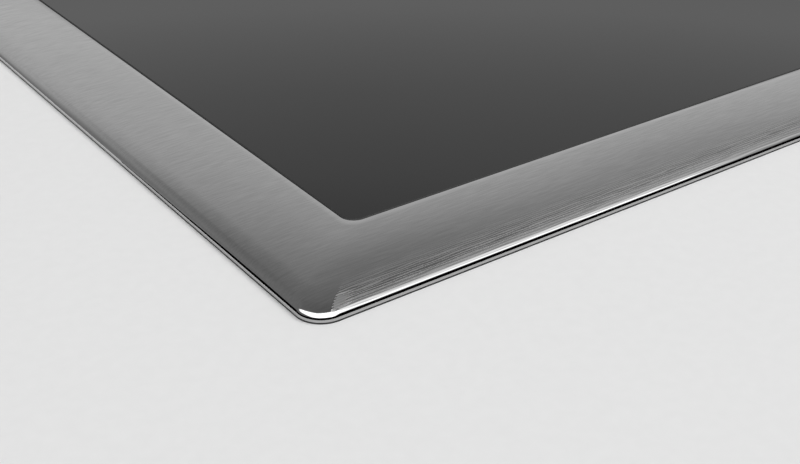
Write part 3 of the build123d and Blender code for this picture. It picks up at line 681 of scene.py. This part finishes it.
def brushed_steel():
    """Stainless sheet brushed along X, with coarser lines by the long edges, a smooth rolled edge and
    painted shade on faces turned sideways or down.
    """
    made, nodes, links, shader = new_material("brushed_steel")
    shader.inputs["Metallic"].default_value = 1.0
    shader.inputs["Anisotropic"].default_value = GRAIN_PULL
    fine = noise_field(nodes, links, FINE_GRAIN, FINE_DETAIL)
    broad = noise_field(nodes, links, BROAD_GRAIN, BROAD_DETAIL)
    zone = coarse_zone(nodes, links)
    scratches = scratch_lines(nodes, links)
    normal = nodes.new("ShaderNodeNewGeometry").outputs["Normal"]
    up = split_axes(nodes, links, normal)[2]

    lines = colour_mix(nodes, links, zone, shade_grey(nodes, links, scratches, SCRATCH_TONES))
    links.new(shade_grey(nodes, links, broad, STEEL_TONES), lines.inputs["A"])
    # Painted shade: faces turned sideways or down take the darker grey under the brushed colours
    face = map_range(nodes, links, up, *SIDE_SHADE_UP).outputs["Result"]
    tone = colour_mix(nodes, links, face, lines.outputs["Result"])
    tone.inputs["A"].default_value = (*grey(SIDE_SHADE_TONE), 1)
    links.new(tone.outputs["Result"], shader.inputs["Base Color"])

    smooth = spread(nodes, links, fine, *STEEL_ROUGHNESS)
    coarse = spread(nodes, links, scratches, *SCRATCH_ROUGHNESS)
    brushed = calculate(nodes, links, "MULTIPLY_ADD", zone, coarse, smooth)
    polish = map_range(nodes, links, up, *ROLLED_UP, low=ROLLED_ROUGHNESS)
    links.new(brushed, polish.inputs["To Max"])
    links.new(polish.outputs["Result"], shader.inputs["Roughness"])

    across = nodes.new("ShaderNodeVectorMath")
    across.operation = "CROSS_PRODUCT"
    across.inputs[1].default_value = GRAIN
    links.new(normal, across.inputs[0])
    links.new(across.outputs["Vector"], shader.inputs["Tangent"])
    add_bump(nodes, links, shader, fine, GRAIN_BUMP, GRAIN_DEPTH)
    return made


def black_glass():
    """Polished glass ceramic, black all through, with the faintest waviness and a ground edge."""
    made, nodes, links, shader = new_material("black_glass")
    shader.inputs["IOR"].default_value = GLASS_IOR
    field = noise_field(nodes, links, GLASS_WAVES, GLASS_DETAIL)
    normal = nodes.new("ShaderNodeNewGeometry").outputs["Normal"]
    up = split_axes(nodes, links, normal)[2]
    face = map_range(nodes, links, up, *GROUND_UP).outputs["Result"]
    tone = colour_mix(nodes, links, face, shade_grey(nodes, links, field, GLASS_TONES))
    tone.inputs["A"].default_value = (*grey(GROUND_TONE), 1)
    links.new(tone.outputs["Result"], shader.inputs["Base Color"])
    ground = map_range(nodes, links, up, *GROUND_UP, low=GROUND_ROUGHNESS)
    links.new(spread(nodes, links, field, *GLASS_ROUGHNESS), ground.inputs["To Max"])
    links.new(ground.outputs["Result"], shader.inputs["Roughness"])
    return made


def zinc_sheet():
    """Zinc-coated steel with its pale spangle."""
    made, nodes, links, shader = new_material("zinc_steel")
    shader.inputs["Metallic"].default_value = 1.0
    place = nodes.new("ShaderNodeTexCoord")
    cells = nodes.new("ShaderNodeTexVoronoi")
    cells.inputs["Scale"].default_value = SPANGLE_SCALE
    links.new(place.outputs["Object"], cells.inputs["Vector"])
    tone = nodes.new("ShaderNodeSeparateColor")
    links.new(cells.outputs["Color"], tone.inputs["Color"])
    field = tone.outputs["Red"]
    links.new(shade(nodes, links, field, SPANGLE_DARK, SPANGLE_LIGHT), shader.inputs["Base Color"])
    links.new(spread(nodes, links, field, *SPANGLE_ROUGHNESS), shader.inputs["Roughness"])
    return made


def make_materials():
    """One finish for each slot of the record, and those of the print, the board and the card."""
    made = {"brushed_steel": brushed_steel(), "black_glass": black_glass(), "zinc_steel": zinc_sheet()}
    for name, values in PLAIN_FINISHES.items():
        made[name] = plain_finish(name, *values)
    for name in DULL_FINISHES:
        shader = made[name].node_tree.nodes["Principled BSDF"]
        shader.inputs["Specular IOR Level"].default_value = 0.0
    return made


def dress_nodes():
    """Each CAD node takes the finish of its slot."""
    for part in frame["record"]["subparts"]:
        data = frame["nodes"][part["node"]].data
        data.materials.clear()
        data.materials.append(materials[part["material_slot"]])


# Marks on the glass: a cross at the middle of each zone and the touch controls at the front
def flat_bar(work, x, y, length, depth):
    """Thin printed bar on the glass."""
    low = (x - length / 2, y - depth / 2, GLASS_TOP)
    high = (x + length / 2, y + depth / 2, GLASS_TOP + PRINT_HEIGHT)
    add_box(work, low, high)


def flat_arc(work, x, y, radius, start, end):
    """Thin printed arc on the glass, its angles in degrees."""
    inner = radius - LINE_WIDTH / 2
    outer = radius + LINE_WIDTH / 2
    top = GLASS_TOP + PRINT_HEIGHT
    rows = []
    for step in range(ARC_STEPS + 1):
        angle = math.radians(start + (end - start) * step / ARC_STEPS)
        row = []
        for reach, z in ((inner, GLASS_TOP), (outer, GLASS_TOP), (outer, top), (inner, top)):
            row.append(work.verts.new((x + reach * math.cos(angle), y + reach * math.sin(angle), z)))
        rows.append(row)
    for here, there in zip(rows, rows[1:]):
        join_loops(work, here, there, False)


def add_crosses(work):
    """Cross over the sensor at the middle of each zone, open at its centre."""
    arm = CROSS_ARM - CROSS_GAP
    offset = (CROSS_GAP + CROSS_ARM) / 2
    for zone in ZONES:
        low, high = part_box(f"heat_sensor_{zone}")
        x = (low.x + high.x) / 2
        y = (low.y + high.y) / 2
        for side in (-1, 1):
            flat_bar(work, x + side * offset, y, arm, LINE_WIDTH)
            flat_bar(work, x, y + side * offset, LINE_WIDTH, arm)


def add_controls(work):
    """Row of touch controls: power, minus, growing bars, plus and pause."""
    low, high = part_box("touch_pads")
    y = (low.y + high.y) / 2
    for step in range(LEVEL_BARS):
        x = (step - (LEVEL_BARS - 1) / 2) * LEVEL_PITCH
        flat_bar(work, x, y, LEVEL_LENGTH, LINE_WIDTH * (1 + step * LEVEL_GROWTH))
    flat_bar(work, -SIGN_X, y, SIGN_LENGTH, LINE_WIDTH)
    flat_bar(work, SIGN_X, y, SIGN_LENGTH, LINE_WIDTH)
    for side in (-1, 1):
        flat_bar(work, SIGN_X, y + side * PLUS_STROKE_Y, LINE_WIDTH, PLUS_STROKE)
    flat_arc(work, POWER_X, y, POWER_RADIUS, *POWER_ARC)
    flat_bar(work, POWER_X, y + POWER_STROKE_Y, LINE_WIDTH, POWER_STROKE)
    for side in (-1, 1):
        flat_bar(work, PAUSE_X + side * PAUSE_HALF_GAP, y, LINE_WIDTH, PAUSE_LENGTH)


def add_marks():
    """All prints as one thin mesh."""
    def build(work):
        add_crosses(work)
        add_controls(work)

    made = new_object("printed_marks", mesh_from("printed_marks", build))
    made.data.materials.append(materials["print"])
    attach(made, "chassis")


# Worktop board, light and world
def add_board():
    """Thin pale board with the cut-out that the cooktop sits in."""
    hole = (HALF_LENGTH - CUT_OUT_INSET, HALF_DEPTH - CUT_OUT_INSET)
    rim = (HALF_LENGTH + BOARD_MARGIN, HALF_DEPTH + BOARD_MARGIN)
    top = -GASKET_HEIGHT
    bottom = top - BOARD_THICKNESS

    def build(work):
        loops = []
        for (reach_x, reach_y), z in ((hole, top), (rim, top), (rim, bottom), (hole, bottom)):
            signs = ((1, 1), (-1, 1), (-1, -1), (1, -1))
            loops.append([work.verts.new((i * reach_x, j * reach_y, z)) for i, j in signs])
        for here, there in zip(loops, loops[1:] + loops[:1]):
            join_loops(work, here, there, False)

    made = new_object("worktop_board", mesh_from("worktop_board", build))
    made.data.materials.append(materials["board"])


def add_card():
    """Black card seen only by reflections, which draws the dark line along the rolled edge."""
    corner = front_left_corner(-GASKET_HEIGHT)
    feet = [(corner + Vector((along * MM, -CARD_GAP, 0)), height) for along, height in CARD_FRONT]
    feet += [(corner + Vector((-CARD_GAP, along * MM, 0)), height) for along, height in CARD_LEFT]

    def build(work):
        rows = []
        for foot, height in feet:
            rows.append((work.verts.new(foot), work.verts.new(foot + Vector((0, 0, height * MM)))))
        for here, there in zip(rows, rows[1:]):
            work.faces.new((here[0], there[0], there[1], here[1]))

    made = new_object("black_card", mesh_from("black_card", build))
    made.data.materials.append(materials["card"])
    made.visible_camera = False
    made.visible_diffuse = False
    made.visible_shadow = False


def add_fill(name, place, target, width, height, power):
    """Soft rectangular light that no reflection shows."""
    data = bpy.data.lights.new(name, "AREA")
    data.shape = "RECTANGLE"
    data.size = width
    data.size_y = height
    data.energy = power
    made = new_object(name, data)
    made.location = place
    way = Vector(target) - Vector(place)
    made.rotation_mode = "QUATERNION"
    made.rotation_quaternion = way.to_track_quat("-Z", "Y")
    made.visible_camera = False
    made.visible_glossy = False


def add_lights():
    """Fill across the worktop from the right and the left, and one from below for the box under it."""
    corner = front_left_corner(0)
    for name, (offset, *values) in CORNER_FILLS.items():
        add_fill(name, corner + Vector(offset), corner, *values)
    place, *values = LOW_FILL
    add_fill("low_fill", place, LOW_FILL_AIM, *values)


def level_ramp(nodes, links, height, levels):
    """Light by elevation, from pairs of degrees and level."""
    ramp = nodes.new("ShaderNodeValToRGB")
    elements = ramp.color_ramp.elements
    while len(elements) < len(levels):
        elements.new(0.5)
    for element, (angle, level) in zip(elements, levels):
        element.position = (math.sin(math.radians(angle)) + 1) / 2
        element.color = (*grey(level), 1)
    links.new(height, ramp.inputs["Fac"])
    return ramp.outputs["Color"]


def grow_along(nodes, links, place, way, dark, full, level=1.0):
    """Light that grows smoothly to its level as a place moves along a way."""
    along = nodes.new("ShaderNodeVectorMath")
    along.operation = "DOT_PRODUCT"
    along.inputs[1].default_value = way
    links.new(place, along.inputs[0])
    step = map_range(nodes, links, along.outputs["Value"], dark, full, 0.0, level)
    step.interpolation_type = "SMOOTHSTEP"
    return step.outputs["Result"]


def ceiling_lamps(nodes, links, ray, up, height):
    """Brightest of the lamps where a ray meets the ceiling; a lamp's first edge brings its level."""
    ceiling = nodes.new("ShaderNodeVectorMath")
    ceiling.operation = "DIVIDE"
    links.new(ray, ceiling.inputs[0])
    links.new(up, ceiling.inputs[1])
    lamps = None
    for level, edges in LAMPS:
        lamp = level_ramp(nodes, links, height, LAMP_FLOOR)
        for i, edge in enumerate(edges):
            lit = grow_along(nodes, links, ceiling.outputs["Vector"], *edge, level if i == 0 else 1.0)
            lamp = calculate(nodes, links, "MULTIPLY", lamp, lit)
        lamps = calculate(nodes, links, "MAXIMUM", lamps, lamp) if lamps else lamp
    return lamps


def studio_walls(nodes, links, ray, height):
    """Side levels with the middle, far, right and front walls laid over them, and the glow on the right."""
    walls = level_ramp(nodes, links, height, SIDE_LEVELS)
    for levels, *edge in WALLS:
        over = nodes.new("ShaderNodeMix")
        links.new(grow_along(nodes, links, ray, *edge), over.inputs["Factor"])
        links.new(walls, over.inputs["A"])
        links.new(level_ramp(nodes, links, height, levels), over.inputs["B"])
        walls = over.outputs["Result"]
    glow = grow_along(nodes, links, ray, *GLOW_EDGE)
    glow = calculate(nodes, links, "MULTIPLY", glow, level_ramp(nodes, links, height, GLOW_LEVELS))
    return calculate(nodes, links, "ADD", walls, glow)


def add_world():
    """Studio round the cooktop: grey walls, a glow and ceiling lamps, with a plain pale backdrop."""
    world = bpy.data.worlds.new("studio")
    bpy.context.scene.world = world
    world.use_nodes = True
    nodes = world.node_tree.nodes
    links = world.node_tree.links
    ray = nodes.new("ShaderNodeTexCoord").outputs["Generated"]
    up = split_axes(nodes, links, ray)[2]
    height = map_range(nodes, links, up, -1.0, 1.0).outputs["Result"]
    lamps = ceiling_lamps(nodes, links, ray, up, height)
    walls = studio_walls(nodes, links, ray, height)
    surround = nodes["Background"]
    surround.inputs["Color"].default_value = (*grey(1), 1)
    links.new(calculate(nodes, links, "MAXIMUM", walls, lamps), surround.inputs["Strength"])
    backdrop = nodes.new("ShaderNodeBackground")
    backdrop.inputs["Color"].default_value = (*grey(BACKDROP_LEVEL), 1)
    path = nodes.new("ShaderNodeLightPath")
    seen = nodes.new("ShaderNodeMixShader")
    links.new(path.outputs["Is Camera Ray"], seen.inputs["Fac"])
    links.new(surround.outputs["Background"], seen.inputs[1])
    links.new(backdrop.outputs["Background"], seen.inputs[2])
    links.new(seen.outputs["Shader"], nodes["World Output"].inputs["Surface"])


bpy.context.scene.view_settings.view_transform = "Standard"
materials = make_materials()
dress_nodes()
add_camera()
add_trim_frame()
add_gasket()
add_springs()
add_marks()
add_board()
add_card()
add_lights()
add_world()
